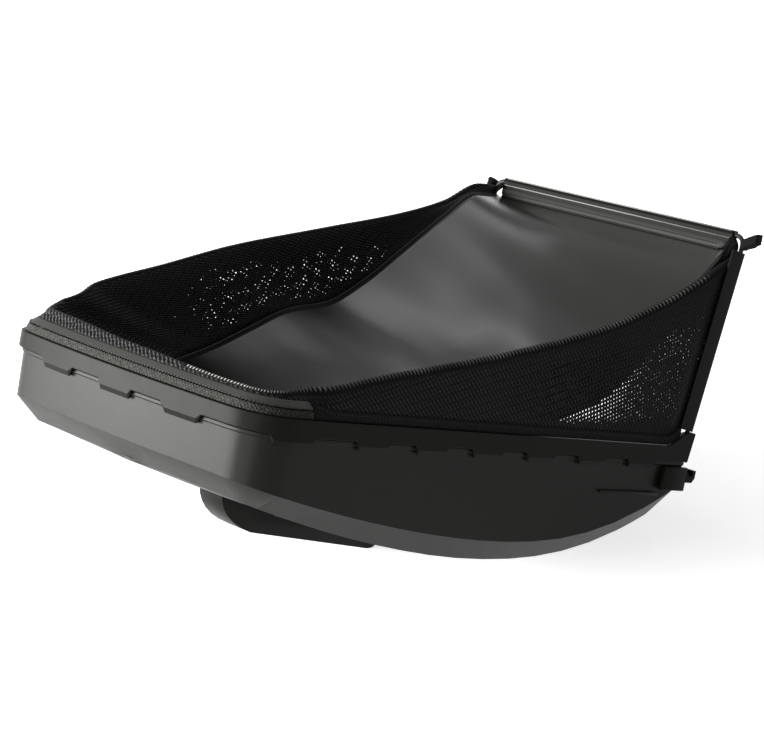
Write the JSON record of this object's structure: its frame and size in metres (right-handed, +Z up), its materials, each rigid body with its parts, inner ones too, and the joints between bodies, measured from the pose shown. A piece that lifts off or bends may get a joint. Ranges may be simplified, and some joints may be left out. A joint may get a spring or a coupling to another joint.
{
  "type": "lawn mower grass catcher",
  "caption": "Soft-sided grass catcher for a walk-behind mower: a moulded lid with a carrying handle, mesh walls on a snap rail and a wire-framed mouth, lying on its lid.",
  "frame": {"origin": "middle of the box around the part, at floor height", "axes": "+Y from the closed rear to the open mouth, +Z up as it lies on its handle and the lid's nose, +X to the side that has slumped"},
  "size_m": [0.4308, 0.741, 0.3222],
  "materials": {
    "base_sheet": "coated",
    "carry_handle": "moulded grain",
    "corner_ear_left": "woven",
    "corner_ear_right": "woven",
    "cover_shell": "moulded grain",
    "leg_profile_left": "moulded grain",
    "leg_profile_right": "moulded grain",
    "lid_rib_left": "moulded grain",
    "lid_rib_right": "moulded grain",
    "mesh_rear": "woven",
    "mesh_side_left": "woven",
    "mesh_side_right": "woven",
    "mount_hook_left": "moulded grain",
    "mount_hook_right": "moulded grain",
    "mouth_bracket_left": "moulded grain",
    "mouth_bracket_right": "moulded grain",
    "mouth_channel": "moulded grain",
    "rim_binding_left": "woven",
    "rim_binding_right": "woven",
    "rim_rail": "moulded grain",
    "rim_tape": "woven",
    "rim_webbing": "woven",
    "seam_piping": "woven",
    "wire_frame": "satin"
  },
  "bodies": {
    "root": {"base_sheet": "base_sheet", "carry_handle": "carry_handle", "corner_ear_left": "corner_ear_left", "corner_ear_right": "corner_ear_right", "cover_shell": "cover_shell", "leg_profile_left": "leg_profile_left", "leg_profile_right": "leg_profile_right", "lid_rib_left": "lid_rib_left", "lid_rib_right": "lid_rib_right", "mesh_rear": "mesh_rear", "mesh_side_left": "mesh_side_left", "mesh_side_right": "mesh_side_right", "mount_hook_left": "mount_hook_left", "mount_hook_right": "mount_hook_right", "mouth_bracket_left": "mouth_bracket_left", "mouth_bracket_right": "mouth_bracket_right", "mouth_channel": "mouth_channel", "rim_binding_left": "rim_binding_left", "rim_binding_right": "rim_binding_right", "rim_rail": "rim_rail", "rim_tape": "rim_tape", "rim_webbing": "rim_webbing", "seam_piping": "seam_piping", "wire_frame": "wire_frame"}
  },
  "joints": []
}
